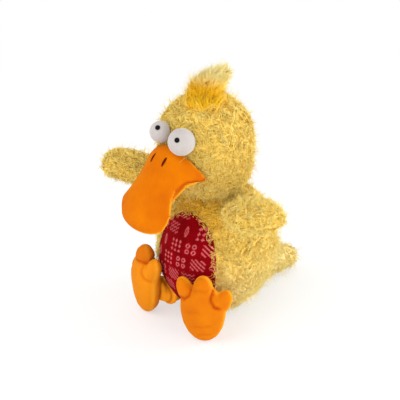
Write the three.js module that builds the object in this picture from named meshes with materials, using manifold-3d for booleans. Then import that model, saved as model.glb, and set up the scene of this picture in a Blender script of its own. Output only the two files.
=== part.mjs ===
// A seated plush duck with curly yellow fur, a drooping orange bill, orange feet and a red cotton belly.
// Millimetres, +Z up. The duck faces -Y and its left side is +X.
// The origin is on the floor under the middle of the seat, on the axis that the head turns about.

import * as THREE from 'three';
import { mergeVertices } from 'three/addons/utils/BufferGeometryUtils.js';
import Module from 'manifold-3d';

const wasm = await Module();
wasm.setup();

// Cloth and fits
const clearance = 0.3; // between neighbouring pieces
const clothThickness = 2.5; // backing cloth with the matted foot of its pile
const flatDepth = 0.5; // how deep a rounded form is flattened where it rests
const overrun = 200; // how far a cutting block reaches past what it cuts

// Torso
const torsoHalfWidth = 56;
const torsoFrontReach = 61;
const torsoBackReach = 72;
const torsoWidestHeight = 60;
const torsoRise = 80; // from the widest ring up to the top under the neck
const torsoDrop = 63; // from the widest ring down to the point that the seat cuts off
const torsoDropFullness = 1.85;
const baseSeamHeight = 6;
const neckDomeRadius = 46;
const neckDomeHeight = 100;
const bellyHalfWidth = 41;
const bellyBottomHeight = 10;
const bellyTopHeight = 116;

// Head
const headHalfWidth = 47.5;
const headFrontReach = 48;
const headBackReach = 50;
const headForward = 16; // of the widest ring, from the axis that the head turns about
const headHeight = 190;
const headRise = 47;
const headDrop = 62;
const headDropFullness = 2.6;
const headDropShift = 10; // how far the foot of the head lies behind its widest ring

// Tuft
const tuftRootAhead = 4; // of the crown
const tuftRootDepth = 11; // under the crown
const tuftLeanBack = 32;
const tuftTall = 25;
const tuftHalfWidth = 18;
const tuftHalfDepth = 15;
const tuftTipLength = 4;

// Eyes, each with the place of its middle from the head's widest ring and the way that it looks
const leftEye = {
  radius: 13, left: 17.5, ahead: 49, rise: 15, gaze: { leftShare: 0.365, forwardShare: 0.8, upShare: 0.48 },
};
const rightEye = {
  radius: 10.5, left: -13, ahead: 47, rise: 16, gaze: { leftShare: 0.33, forwardShare: 0.66, upShare: 0.68 },
};
const pupilRadius = 2.6;
const pupilBulge = 1.5;

// Bill
const mouthAhead = 30; // where the mouth line starts, inside the cheeks, from the head's widest ring
const mouthDrop = 20;
const billReach = 53; // from the start of the mouth line to the end of the spoon
const billDroop = 40; // from the start of the mouth line down to the end of the spoon
const billHalfWidth = 33.5;
const billTopFullness = 1.35; // 2 is round over the top, and less is more like a gable
const upperBillRise = 32; // of the cheeks above the mouth line
const upperBillBelly = 3.5; // below the mouth line
const upperBillTipLength = 13;
const lowerBillDepth = 9;
const lowerBillTipLength = 9;
const lowerBillWidthShare = 0.86;
const jawAhead = 20.5; // of the start of the mouth line
const jawDrop = 7.5;
const jawRadius = 6.5;
const jawHalfWidth = 25;

// Nostril stitches
const stitchThickness = 1.6;
const nostrilStartShare = 0.27; // along the upper bill
const nostrilEndShare = 0.35;
const nostrilSpreadShare = 0.28; // of the bill's half width there

// Wings
const shoulderOut = 40.5;
const shoulderForward = 5;
const shoulderHeight = 129;
const shoulderRadius = 9;
const shoulderHalfChord = 23;
const wingReach = 60; // from the shoulder out to where the tip starts to round
const leftWingSweep = 40; // forward
const leftWingLift = 16;
const rightWingSweep = 40;
const rightWingLift = 14;
const wingHalfChord = 28;
const wingHalfThickness = 14;
const wingTipLength = 13;

// Tail
const tailRootBack = 58;
const tailRootHeight = 28;
const tailRootRadius = 22;
const tailReach = 54;
const tailDroop = 13;
const tailRadius = 13.5;
const tailTipLength = 11;

// Legs and feet
const hipOut = 27.5;
const hipForward = 39;
const hipHeight = 19;
const hipRadius = 12;
const legRadius = 12;
const heelOut = 41.5;
const leftHeelForward = 60.5;
const rightHeelForward = 59.5;
const footTurnOut = THREE.MathUtils.degToRad(22);
const ankleHeight = 28;
const footHalfWidth = 24;
const footHalfThickness = 13.5;
const footWidestHeight = 38;
const footRise = 22;
const footDropFullness = 2.1;
const heelHalfWidth = 16;
const heelHalfThickness = 13;
const heelWidestHeight = 17;
const heelRise = 19;
const heelBack = 1.5; // of the middle of the foot
const sideToeFan = THREE.MathUtils.degToRad(24);

// Toes, each with the place of its middle: out and back from the middle of the foot
const middleToe = { halfWidth: 11, halfThickness: 10.5, rise: 17, drop: 22, out: 0, back: 0, height: 54 };
const innerToe = { halfWidth: 8.5, halfThickness: 8, rise: 15, drop: 20, out: -19, back: 1.5, height: 51 };
const outerToe = { halfWidth: 8.5, halfThickness: 8, rise: 15, drop: 20, out: 19, back: 4.5, height: 44 };

// Facets
const bigForm = { sides: 24, rings: 14 };
const bigCore = { sides: 12, rings: 8 };
const smallForm = { sides: 14, rings: 9 };
const smallCore = { sides: 8, rings: 6 };
const tinyForm = { sides: 10, rings: 6 };
const rootForm = { sides: 16, rings: 8 };

// Colours and finishes
const furFinish = { color: 0xe9c768, roughness: 1, metalness: 0 };
const tuftFinish = { color: 0xefae28, roughness: 1, metalness: 0 };
const velourFinish = { color: 0xf98a12, roughness: 0.9, metalness: 0 };
const cottonFinish = { color: 0x9c1220, roughness: 0.85, metalness: 0 };
const eyeFinish = { color: 0xe8e4e8, roughness: 0.8, metalness: 0 };
const pupilFinish = { color: 0x101010, roughness: 0.35, metalness: 0 };
const stitchFinish = { color: 0x4a0d08, roughness: 0.9, metalness: 0 };
const stuffingFinish = { color: 0xf4f2ec, roughness: 1, metalness: 0 };

// A place given to the duck's left, forward and up
function place(left, forward, up) {
  return new THREE.Vector3(left, -forward, up);
}

// Solids

function solidOf(geometry) {
  geometry.deleteAttribute('normal');
  geometry.deleteAttribute('uv');
  const merged = mergeVertices(geometry);
  const mesh = new wasm.Mesh({
    numProp: 3,
    vertProperties: Float32Array.from(merged.attributes.position.array),
    triVerts: Uint32Array.from(merged.index.array),
  });
  return new wasm.Manifold(mesh);
}

// Closed skin over rings of equal count, each ring counter-clockwise about the way that the rings advance
function skin(rings, startPoint, endPoint) {
  const count = rings[0].length;
  const points = [startPoint, ...rings.flat(), endPoint];
  const last = points.length - 1;
  const index = [];
  for (let side = 0; side < count; side += 1) {
    const next = (side + 1) % count;
    index.push(0, 1 + next, 1 + side);
    for (let ring = 0; ring + 1 < rings.length; ring += 1) {
      const low = 1 + ring * count;
      const high = low + count;
      index.push(low + side, low + next, high + next);
      index.push(low + side, high + next, high + side);
    }
    const rim = last - count;
    index.push(last, rim + side, rim + next);
  }
  const geometry = new THREE.BufferGeometry().setFromPoints(points);
  geometry.setIndex(index);
  return solidOf(geometry);
}

// How far a round of that fullness reaches: 2 is an ellipse, more is boxier and less is more pointed
function bow(share, fullness) {
  return Math.abs(share) ** (2 / fullness);
}

// A stuffed egg about a vertical axis: it swells to its widest ring and tapers to both ends
function egg(shape, facets, inset = 0) {
  const { at, halfWidth, frontReach, backReach, rise, drop } = shape;
  const { riseFullness = 2, dropFullness = 2, dropShift = 0 } = shape;
  const middleAt = (share) => (share < 0 ? dropShift * share * share : 0);
  const rings = [];
  for (let ring = 1; ring < facets.rings; ring += 1) {
    const angle = Math.PI * (ring / facets.rings - 1 / 2);
    const fullness = angle < 0 ? dropFullness : riseFullness;
    const heightShare = Math.sign(angle) * bow(Math.sin(angle), fullness);
    const widthShare = bow(Math.cos(angle), fullness);
    const height = heightShare * ((angle < 0 ? drop : rise) - inset);
    const points = [];
    for (let side = 0; side < facets.sides; side += 1) {
      const turn = (2 * Math.PI * side) / facets.sides;
      const reach = (Math.sin(turn) < 0 ? frontReach : backReach) - inset;
      const x = Math.cos(turn) * widthShare * (halfWidth - inset);
      const y = Math.sin(turn) * widthShare * reach + middleAt(heightShare);
      points.push(new THREE.Vector3(x, y, height).add(at));
    }
    rings.push(points);
  }
  const bottom = new THREE.Vector3(0, middleAt(-1), inset - drop).add(at);
  const top = new THREE.Vector3(0, 0, rise - inset).add(at);
  return skin(rings, bottom, top);
}

// A stuffed limb: rings across a curved spine, with a rounded tip.
// Each station has its place and its half sizes: across, above and below the spine.
// A top fullness of 2 is an ellipse, and less is more like a gable.
function limb({ stations, acrossAt, tipLength, topFullness = 2 }, facets, inset = 0) {
  const spine = new THREE.CatmullRomCurve3(stations.map((station) => station.at));
  const sizeOf = ({ across, above, below }) => new THREE.Vector3(across, above, below);
  const sizes = new THREE.CatmullRomCurve3(stations.map(sizeOf));
  const tipRings = Math.ceil(facets.rings / 3);
  const bodyRings = facets.rings - tipRings;
  const ringAt = (share, advance, scale) => {
    const along = spine.getTangent(share);
    const across = acrossAt(share);
    across.addScaledVector(along, -across.dot(along)).normalize();
    const up = new THREE.Vector3().crossVectors(along, across);
    const middle = spine.getPoint(share).addScaledVector(along, advance);
    const size = sizes.getPoint(share);
    const points = [];
    for (let side = 0; side < facets.sides; side += 1) {
      const turn = (2 * Math.PI * side) / facets.sides;
      const lift = Math.sin(turn);
      const half = Math.max(lift < 0 ? size.z - inset : size.y - inset, 0);
      const liftShare = lift < 0 ? lift : bow(lift, topFullness);
      const point = middle.clone().addScaledVector(across, Math.cos(turn) * (size.x - inset) * scale);
      points.push(point.addScaledVector(up, liftShare * half * scale));
    }
    return points;
  };
  const rings = [];
  for (let ring = 0; ring <= bodyRings; ring += 1) {
    rings.push(ringAt(ring / bodyRings, ring > 0 ? 0 : inset, 1));
  }
  for (let ring = 1; ring < tipRings; ring += 1) {
    const angle = (Math.PI / 2) * (ring / tipRings);
    rings.push(ringAt(1, Math.sin(angle) * (tipLength - inset), Math.cos(angle)));
  }
  const start = spine.getPoint(0).addScaledVector(spine.getTangent(0), inset);
  const end = spine.getPoint(1).addScaledVector(spine.getTangent(1), tipLength - inset);
  return skin(rings, start, end);
}

function ball(radius, at, facets) {
  const geometry = new THREE.SphereGeometry(radius, facets.sides, facets.rings);
  geometry.rotateX(Math.PI / 2);
  geometry.translate(at.x, at.y, at.z);
  return solidOf(geometry);
}

// The radius of a faceted round that the same round turns freely in
function turningRadius(radius, facets) {
  return radius / Math.cos(Math.PI / facets.sides);
}

// A round seat for a ball that turns about a vertical axis
function ballSeat(radius, at, facets, gap) {
  return ball(turningRadius(radius + gap, facets), at, facets);
}

// A spindle of revolution about a level axis, for a seam that a limb turns about
function spindle(radius, halfLength, at, axisTurn, facets) {
  const geometry = new THREE.SphereGeometry(1, facets.sides, facets.rings);
  geometry.scale(radius, halfLength, radius);
  geometry.rotateZ(axisTurn);
  geometry.translate(at.x, at.y, at.z);
  return solidOf(geometry);
}

function spindleSeat(radius, halfLength, at, axisTurn, facets, gap) {
  return spindle(turningRadius(radius + gap, facets), halfLength + gap, at, axisTurn, facets);
}

function block(corner, oppositeCorner) {
  const box = new THREE.Box3().setFromPoints([corner, oppositeCorner]);
  const size = box.getSize(new THREE.Vector3());
  const middle = box.getCenter(new THREE.Vector3());
  const geometry = new THREE.BoxGeometry(size.x, size.y, size.z);
  geometry.translate(middle.x, middle.y, middle.z);
  return solidOf(geometry);
}

// Everything on the duck's left of a plane at x, and on its right
const leftOf = (x) => block(place(x, -overrun, -overrun), place(x + overrun, overrun, overrun + headHeight));
const rightOf = (x) => block(place(x - overrun, -overrun, -overrun), place(x, overrun, overrun + headHeight));
const above = (z) => block(place(-overrun, -overrun, z), place(overrun, overrun, z + overrun));
const below = (z) => block(place(-overrun, -overrun, z - overrun), place(overrun, overrun, z));
const rearOf = (forward) => block(place(-overrun, forward, -overrun), place(overrun, forward - overrun, overrun));
const frontOf = (forward) => block(place(-overrun, forward, -overrun), place(overrun, forward + overrun, overrun));

function moved(solid, matrix) {
  return solid.transform(matrix.elements);
}

function cut(solid, ...cutters) {
  return cutters.reduce((rest, cutter) => rest.subtract(cutter), solid);
}

function joined(solids) {
  return solids.reduce((whole, solid) => whole.add(solid));
}

// Head form, which the eyes, bill and tuft are cut by

const headAt = place(0, headForward, headHeight);
const headShape = {
  at: headAt,
  halfWidth: headHalfWidth,
  frontReach: headFrontReach,
  backReach: headBackReach,
  rise: headRise,
  drop: headDrop,
  dropFullness: headDropFullness,
  dropShift: headDropShift,
};
const headClear = egg(headShape, bigForm, -clearance);

// Bill

const mouthForward = headForward + mouthAhead;
const mouthHeight = headHeight - mouthDrop;
const jawForward = mouthForward + jawAhead;
const jawHeight = mouthHeight - jawDrop;
const leftward = () => place(1, 0, 0);
const billStationShares = [
  { reachShare: 0, droopShare: 0, wideShare: 1, riseShare: 1 },
  { reachShare: 0.3, droopShare: 0.03, wideShare: 0.93, riseShare: 0.87 },
  { reachShare: 0.55, droopShare: 0.18, wideShare: 0.76, riseShare: 0.58 },
  { reachShare: 0.77, droopShare: 0.43, wideShare: 0.82, riseShare: 0.44 },
  { reachShare: 0.92, droopShare: 0.71, wideShare: 1, riseShare: 0.39 },
  { reachShare: 1, droopShare: 0.97, wideShare: 0.9, riseShare: 0.32 },
];

function billAt({ reachShare, droopShare }) {
  return place(0, mouthForward + reachShare * billReach, mouthHeight - droopShare * billDroop);
}

const upperBillShape = {
  stations: billStationShares.map((share) => ({
    at: billAt(share),
    across: share.wideShare * billHalfWidth,
    above: share.riseShare * upperBillRise,
    below: upperBillBelly,
  })),
  acrossAt: leftward,
  tipLength: upperBillTipLength,
  topFullness: billTopFullness,
};
const lowerBillShape = {
  stations: billStationShares.slice(1).map((share) => ({
    at: billAt(share),
    across: share.wideShare * billHalfWidth * lowerBillWidthShare,
    above: upperBillBelly,
    below: lowerBillDepth,
  })),
  acrossAt: leftward,
  tipLength: lowerBillTipLength,
};
const billFacets = { sides: 18, rings: 14 };
const jawAt = place(0, jawForward, jawHeight);
const sideways = Math.PI / 2;

function jawSeat(depth) {
  return spindleSeat(jawRadius + depth, jawHalfWidth + depth, jawAt, sideways, rootForm, clearance);
}

function eyeAt({ left, ahead, rise }) {
  return place(left, headForward + ahead, headHeight + rise);
}

const eyeFacets = { sides: 16, rings: 10 };
const eyeSeats = [leftEye, rightEye].map((eye) => ballSeat(eye.radius, eyeAt(eye), eyeFacets, clearance));
const upperBill = cut(limb(upperBillShape, billFacets), headClear, jawSeat(0), ...eyeSeats);
const upperBillClear = limb(upperBillShape, billFacets, -clearance);
const lowerBillFront = cut(limb(lowerBillShape, billFacets), rearOf(jawForward), headClear);
const jawRoot = spindle(jawRadius, jawHalfWidth, jawAt, sideways, rootForm);
const lowerBill = cut(lowerBillFront.add(jawRoot), upperBillClear);

// Eyes and pupils

function gazeOf({ gaze }) {
  return place(gaze.leftShare, gaze.forwardShare, gaze.upShare).normalize();
}

function eyeBall(eye) {
  return cut(ball(eye.radius, eyeAt(eye), eyeFacets), headClear);
}

function pupil(eye) {
  const geometry = new THREE.SphereGeometry(1, tinyForm.sides, tinyForm.rings);
  geometry.scale(pupilRadius, pupilBulge, pupilRadius);
  const gaze = gazeOf(eye);
  const turn = new THREE.Quaternion().setFromUnitVectors(new THREE.Vector3(0, 1, 0), gaze);
  geometry.applyQuaternion(turn);
  const at = eyeAt(eye).addScaledVector(gaze, eye.radius);
  geometry.translate(at.x, at.y, at.z);
  return cut(solidOf(geometry), ball(eye.radius + clearance, eyeAt(eye), eyeFacets));
}

// Nostril stitches, laid on the top of the upper bill

function onBillTop(alongShare, spreadShare, lift) {
  const { stations, acrossAt } = upperBillShape;
  const spine = new THREE.CatmullRomCurve3(stations.map((station) => station.at));
  const sizes = new THREE.CatmullRomCurve3(stations.map((s) => new THREE.Vector3(s.across, s.above, s.below)));
  const along = spine.getTangent(alongShare);
  const across = acrossAt();
  const up = new THREE.Vector3().crossVectors(along, across);
  const size = sizes.getPoint(alongShare);
  const point = spine.getPoint(alongShare).addScaledVector(across, spreadShare * size.x);
  const heightShare = bow(Math.sqrt(1 - spreadShare * spreadShare), billTopFullness);
  return point.addScaledVector(up, heightShare * size.y + lift);
}

function nostrilStitch(side) {
  const lift = stitchThickness / 2 + clearance;
  const shares = [nostrilStartShare, (nostrilStartShare + nostrilEndShare) / 2, nostrilEndShare];
  const points = shares.map((share) => onBillTop(share, side * nostrilSpreadShare, lift));
  const section = new THREE.Shape().absarc(0, 0, stitchThickness / 2, 0, 2 * Math.PI);
  const path = new THREE.CatmullRomCurve3(points);
  const geometry = new THREE.ExtrudeGeometry(section, { extrudePath: path, steps: 6, curveSegments: 4 });
  return solidOf(geometry);
}

// Tuft

const tuftStationShares = [
  { backShare: 0, tallShare: 0, sizeShare: 0.7 },
  { backShare: 0.1, tallShare: 0.4, sizeShare: 1 },
  { backShare: 0.4, tallShare: 0.72, sizeShare: 0.72 },
  { backShare: 0.75, tallShare: 0.92, sizeShare: 0.42 },
  { backShare: 1, tallShare: 1, sizeShare: 0.2 },
];
const tuftRootAt = place(0, headForward + tuftRootAhead, headHeight + headRise - tuftRootDepth);
const tuftShape = {
  stations: tuftStationShares.map(({ backShare, tallShare, sizeShare }) => ({
    at: tuftRootAt.clone().add(place(0, -backShare * tuftLeanBack, tallShare * tuftTall)),
    across: sizeShare * tuftHalfWidth,
    above: sizeShare * tuftHalfDepth,
    below: sizeShare * tuftHalfDepth,
  })),
  acrossAt: leftward,
  tipLength: tuftTipLength,
};
const tuft = cut(limb(tuftShape, smallForm), headClear);

// Wings

const wingStationShares = [
  { reachShare: 0, chordShare: 0.28, thickShare: 0.34 },
  { reachShare: 0.2, chordShare: 0.82, thickShare: 0.72 },
  { reachShare: 0.5, chordShare: 1, thickShare: 1 },
  { reachShare: 0.8, chordShare: 1, thickShare: 1 },
  { reachShare: 1, chordShare: 0.92, thickShare: 0.92 },
];
const shoulderAt = (side) => place(side * shoulderOut, shoulderForward, shoulderHeight);

const wingSpan = (side) => (side > 0
  ? place(wingReach, leftWingSweep, leftWingLift)
  : place(-wingReach, rightWingSweep, rightWingLift));

function wingShape(side) {
  const span = wingSpan(side);
  const rootChord = place(0, side, 0);
  const tipChord = new THREE.Vector3(0, 0, 1).cross(span).normalize();
  return {
    stations: wingStationShares.map(({ reachShare, chordShare, thickShare }) => ({
      at: shoulderAt(side).addScaledVector(span, reachShare),
      across: chordShare * wingHalfChord,
      above: thickShare * wingHalfThickness,
      below: thickShare * wingHalfThickness,
    })),
    acrossAt: (share) => rootChord.clone().negate().lerp(tipChord, Math.min(2 * share, 1)),
    tipLength: wingTipLength,
  };
}

function wingForm(side, facets, inset) {
  const rootFacets = inset > 0 ? facets : rootForm;
  const root = spindle(shoulderRadius - inset, shoulderHalfChord - inset, shoulderAt(side), 0, rootFacets);
  return limb(wingShape(side), facets, inset).add(root);
}

function shoulderSeat(side, depth) {
  const at = shoulderAt(side);
  return spindleSeat(shoulderRadius + depth, shoulderHalfChord + depth, at, 0, rootForm, clearance);
}

// The wing's own middle surface, from edge to edge, as a thick sheet for parting its two panels
function wingHalfSpace(side, up) {
  const box = up ? above(clearance / 2) : below(-clearance / 2);
  const span = wingSpan(side);
  const upright = new THREE.Vector3(0, 0, 1);
  const normal = new THREE.Vector3(-side * span.z, 0, Math.abs(span.x)).normalize();
  const tilt = new THREE.Quaternion().setFromUnitVectors(upright, normal);
  return moved(box, new THREE.Matrix4().compose(shoulderAt(side), tilt, new THREE.Vector3(1, 1, 1)));
}

// Tail

const tailStationShares = [
  { reachShare: 0.1, sizeShare: 1.4 },
  { reachShare: 0.4, sizeShare: 1.4 },
  { reachShare: 0.7, sizeShare: 1.15 },
  { reachShare: 1, sizeShare: 0.95 },
];
const tailRootAt = place(0, -tailRootBack, tailRootHeight);
const tailShape = {
  stations: tailStationShares.map(({ reachShare, sizeShare }) => ({
    at: tailRootAt.clone().add(place(0, -reachShare * tailReach, -reachShare * tailDroop)),
    across: sizeShare * tailRadius,
    above: sizeShare * tailRadius,
    below: sizeShare * tailRadius,
  })),
  acrossAt: leftward,
  tipLength: tailTipLength,
};
const tail = limb(tailShape, smallForm).add(ball(tailRootRadius, tailRootAt, rootForm));
const tailSeat = (depth) => ballSeat(tailRootRadius + depth, tailRootAt, rootForm, clearance);

// Feet, made upright at the heel with the sole facing forward, then turned out

const heelForward = (side) => (side > 0 ? leftHeelForward : rightHeelForward);
const heelPlace = (side, height) => place(side * heelOut, heelForward(side), height);
const footFrame = (side) => new THREE.Matrix4()
  .makeRotationZ(side * footTurnOut)
  .setPosition(heelPlace(side, 0));

function toe({ halfWidth, halfThickness, rise, drop, out, back, height }, side, facets, inset) {
  const at = new THREE.Vector3(0, 0, 0);
  const shape = { at, halfWidth, frontReach: halfThickness, backReach: halfThickness, rise, drop };
  const fan = new THREE.Matrix4().makeRotationY(side * Math.sign(out) * sideToeFan);
  fan.setPosition(side * out, back, height);
  return moved(egg(shape, facets, inset), fan);
}

function footForm(side, formFacets, toeFacets, inset) {
  const paddle = egg({
    at: new THREE.Vector3(0, 0, footWidestHeight),
    halfWidth: footHalfWidth,
    frontReach: footHalfThickness,
    backReach: footHalfThickness,
    rise: footRise,
    drop: footWidestHeight + flatDepth,
    dropFullness: footDropFullness,
  }, formFacets, inset);
  const heel = egg({
    at: new THREE.Vector3(0, heelBack, heelWidestHeight),
    halfWidth: heelHalfWidth,
    frontReach: heelHalfThickness,
    backReach: heelHalfThickness,
    rise: heelRise,
    drop: heelWidestHeight + flatDepth,
  }, toeFacets, inset);
  const toes = [middleToe, innerToe, outerToe].map((shape) => toe(shape, side, toeFacets, inset));
  const whole = cut(joined([paddle, heel, ...toes]), below(Math.max(inset, 0)));
  return moved(whole, footFrame(side));
}

const toeFacets = { sides: 10, rings: 6 };
const toeCoreFacets = { sides: 6, rings: 4 };
const hipAt = (side) => place(side * hipOut, hipForward, hipHeight);
const hipSeat = (side, depth) => ballSeat(hipRadius + depth, hipAt(side), rootForm, clearance);

function legForm(side) {
  const ankleAt = heelPlace(side, ankleHeight);
  const stationShares = [
    { wayShare: 0.18, sizeShare: 0.72 },
    { wayShare: 0.45, sizeShare: 1 },
    { wayShare: 0.8, sizeShare: 1 },
  ];
  const shape = {
    stations: stationShares.map(({ wayShare, sizeShare }) => ({
      at: hipAt(side).lerp(ankleAt, wayShare),
      across: sizeShare * legRadius,
      above: sizeShare * legRadius,
      below: sizeShare * legRadius,
    })),
    acrossAt: leftward,
    tipLength: legRadius / 2,
  };
  const leg = limb(shape, tinyForm).add(ball(hipRadius, hipAt(side), rootForm));
  return cut(leg, footForm(side, smallForm, toeFacets, -clearance));
}

// Torso with its seats for the limbs

const sides = [1, -1];
const torsoShape = {
  at: place(0, 0, torsoWidestHeight),
  halfWidth: torsoHalfWidth,
  frontReach: torsoFrontReach,
  backReach: torsoBackReach,
  rise: torsoRise,
  drop: torsoDrop,
  dropFullness: torsoDropFullness,
};
const neckDomeAt = place(0, 0, neckDomeHeight);

function torsoForm(facets, depth, seatDepth) {
  const swell = egg(torsoShape, facets, depth);
  const dome = ball(neckDomeRadius - depth, neckDomeAt, facets);
  const limbSeats = sides.flatMap((side) => [shoulderSeat(side, seatDepth), hipSeat(side, seatDepth)]);
  return cut(swell.add(dome), below(depth), tailSeat(seatDepth), ...limbSeats);
}

const torsoOuter = torsoForm(bigForm, 0, 0);
const torsoShell = cut(torsoOuter, torsoForm(bigCore, clothThickness, clothThickness));
const coreDepth = clothThickness + clearance;
const torsoFill = torsoForm(bigCore, coreDepth, coreDepth);

// The belly patch's outline, seen from the front: an egg, pushed through the front of the body
function bellyPrism(gap) {
  const middle = (bellyBottomHeight + bellyTopHeight) / 2;
  const halfHeight = (bellyTopHeight - bellyBottomHeight) / 2 + gap;
  const outline = new THREE.Shape().absellipse(0, 0, bellyHalfWidth + gap, halfHeight, 0, 2 * Math.PI);
  const geometry = new THREE.ExtrudeGeometry(outline, { depth: overrun, bevelEnabled: false, curveSegments: 9 });
  geometry.rotateX(Math.PI / 2);
  geometry.translate(0, 0, middle);
  return solidOf(geometry);
}

const sideShell = cut(torsoShell, bellyPrism(clearance), below(baseSeamHeight + clearance));
const torsoLeft = sideShell.intersect(leftOf(clearance / 2));
const torsoRight = sideShell.intersect(rightOf(-clearance / 2));
const torsoBase = torsoShell.intersect(below(baseSeamHeight));
const belly = torsoShell.intersect(bellyPrism(0));

// Head panels and stuffing, cupped to turn on the neck

function headForm(facets, depth) {
  const cup = ballSeat(neckDomeRadius + depth, neckDomeAt, bigForm, clearance);
  return cut(egg(headShape, facets, depth), cup, jawSeat(depth));
}

const headShell = cut(headForm(bigForm, 0), headForm(bigCore, clothThickness));
const headFill = headForm(bigCore, coreDepth);
const headLeft = headShell.intersect(leftOf(clearance / 2));
const headRight = headShell.intersect(rightOf(-clearance / 2));

// The assembly: one group for each part that turns, placed at its pivot

function meshOf(name, solid, finish, pivot) {
  const { numProp, vertProperties, triVerts } = solid.getMesh();
  const geometry = new THREE.BufferGeometry();
  geometry.setAttribute('position', new THREE.BufferAttribute(vertProperties, numProp));
  geometry.setIndex(new THREE.BufferAttribute(triVerts, 1));
  geometry.translate(-pivot.x, -pivot.y, -pivot.z);
  geometry.computeVertexNormals();
  const mesh = new THREE.Mesh(geometry, new THREE.MeshStandardMaterial(finish));
  mesh.name = name;
  return mesh;
}

function bodyGroup(pivot, pieces) {
  const group = new THREE.Group();
  group.position.copy(pivot);
  pieces.forEach(([name, solid, finish]) => group.add(meshOf(name, solid, finish, pivot)));
  return group;
}

const duck = new THREE.Group();
duck.add(bodyGroup(place(0, 0, 0), [
  ['torso_left_panel', torsoLeft, furFinish],
  ['torso_right_panel', torsoRight, furFinish],
  ['torso_base_panel', torsoBase, furFinish],
  ['belly_panel', belly, cottonFinish],
  ['torso_fill', torsoFill, stuffingFinish],
]));
duck.add(bodyGroup(neckDomeAt, [
  ['head_left_panel', headLeft, furFinish],
  ['head_right_panel', headRight, furFinish],
  ['head_fill', headFill, stuffingFinish],
  ['head_tuft', tuft, tuftFinish],
  ['eye_left', eyeBall(leftEye), eyeFinish],
  ['eye_right', eyeBall(rightEye), eyeFinish],
  ['pupil_left', pupil(leftEye), pupilFinish],
  ['pupil_right', pupil(rightEye), pupilFinish],
  ['upper_bill', upperBill, velourFinish],
  ['nostril_stitch_left', nostrilStitch(1), stitchFinish],
  ['nostril_stitch_right', nostrilStitch(-1), stitchFinish],
]));
duck.add(bodyGroup(jawAt, [['lower_bill', lowerBill, velourFinish]]));
duck.add(bodyGroup(tailRootAt, [['tail', tail, furFinish]]));

sides.forEach((side) => {
  const name = side > 0 ? 'left' : 'right';
  const wingShell = cut(wingForm(side, smallForm, 0), wingForm(side, smallCore, clothThickness));
  duck.add(bodyGroup(shoulderAt(side), [
    [`${name}_wing_upper_panel`, wingShell.intersect(wingHalfSpace(side, true)), furFinish],
    [`${name}_wing_lower_panel`, wingShell.intersect(wingHalfSpace(side, false)), furFinish],
    [`${name}_wing_fill`, wingForm(side, smallCore, coreDepth), stuffingFinish],
  ]));
  const footOuter = footForm(side, smallForm, toeFacets, 0);
  const footShell = cut(footOuter, footForm(side, smallCore, toeCoreFacets, clothThickness));
  const soleSpace = moved(frontOf(clearance / 2), footFrame(side));
  const instepSpace = moved(rearOf(-clearance / 2), footFrame(side));
  duck.add(bodyGroup(hipAt(side), [
    [`${name}_leg`, legForm(side), velourFinish],
    [`${name}_foot_sole_panel`, footShell.intersect(soleSpace), velourFinish],
    [`${name}_foot_instep_panel`, footShell.intersect(instepSpace), velourFinish],
    [`${name}_foot_fill`, footForm(side, smallCore, toeCoreFacets, coreDepth), stuffingFinish],
  ]));
});

export default duck;
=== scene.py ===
"""A plush duck: curly fur, orange velour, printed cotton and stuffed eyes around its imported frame.

Metres, +Z up. The duck faces -Y and its left side is +X.
"""

import math

import bmesh
import bpy
import numpy as np
from mathutils import Matrix, Vector, noise
from mathutils.bvhtree import BVHTree

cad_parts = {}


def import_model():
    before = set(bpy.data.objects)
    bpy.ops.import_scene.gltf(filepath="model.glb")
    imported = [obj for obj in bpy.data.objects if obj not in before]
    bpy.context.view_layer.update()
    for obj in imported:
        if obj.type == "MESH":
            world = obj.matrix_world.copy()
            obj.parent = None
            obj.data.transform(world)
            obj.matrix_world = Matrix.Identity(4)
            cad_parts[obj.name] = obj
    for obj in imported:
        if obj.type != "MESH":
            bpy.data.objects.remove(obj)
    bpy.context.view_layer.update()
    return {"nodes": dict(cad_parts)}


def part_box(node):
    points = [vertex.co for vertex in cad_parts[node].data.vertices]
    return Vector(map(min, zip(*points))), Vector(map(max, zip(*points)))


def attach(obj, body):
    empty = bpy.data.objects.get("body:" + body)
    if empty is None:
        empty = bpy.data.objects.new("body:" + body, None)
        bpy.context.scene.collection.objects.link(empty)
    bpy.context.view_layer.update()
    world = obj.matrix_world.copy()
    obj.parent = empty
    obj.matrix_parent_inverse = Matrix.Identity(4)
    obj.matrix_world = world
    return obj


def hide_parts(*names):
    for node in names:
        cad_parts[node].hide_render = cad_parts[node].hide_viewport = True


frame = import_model()

MM = 0.001
SIDES = {"left": 1, "right": -1}

# The least gap between soft pieces, and the lowest that a strand hangs
CLEARANCE = 0.3 * MM
FLOOR_GAP = 0.5 * MM

# Fur: its cloth, the cloth's own lumps, and the locks of strands that stand on it
FUR_BASE = {"voxel": 2.1 * MM, "steps": 12, "swell": -2.6 * MM}
FUR_LUMPS = {"size": 3.2 * MM, "depth": 1.4 * MM}
CURLS = {
    "spacing": 3.5 * MM,
    "height": 3.4 * MM,
    "curl": 1.7 * MM,
    "turns": 0.8,
    "thickness": 0.42 * MM,
    "strands": 4,
    "spread": 2.6 * MM,
    "gather": 0.2,
    "stray": 1.0 * MM,
    "lean": 1.6,
    "rings": 4,
}
WISPS = {
    **CURLS,
    "spacing": 8.4 * MM,
    "height": 10.5 * MM,
    "curl": 1.0 * MM,
    "turns": 0.6,
    "thickness": 0.13 * MM,
    "stray": 2.0 * MM,
    "lean": 0.5,
}
TUFT_HAIR = {
    **CURLS,
    "spacing": 2.6 * MM,
    "height": 5.0 * MM,
    "curl": 0.8 * MM,
    "turns": 0.5,
    "thickness": 0.3 * MM,
    "strands": 8,
    "spread": 2.2 * MM,
    "gather": 0.1,
    "stray": 1.8 * MM,
    "lean": 1.7,
}
CROWN_HAIR = {**TUFT_HAIR, "spacing": 3.2 * MM, "height": 7.0 * MM, "strands": 9, "lean": 1.9}
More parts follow.
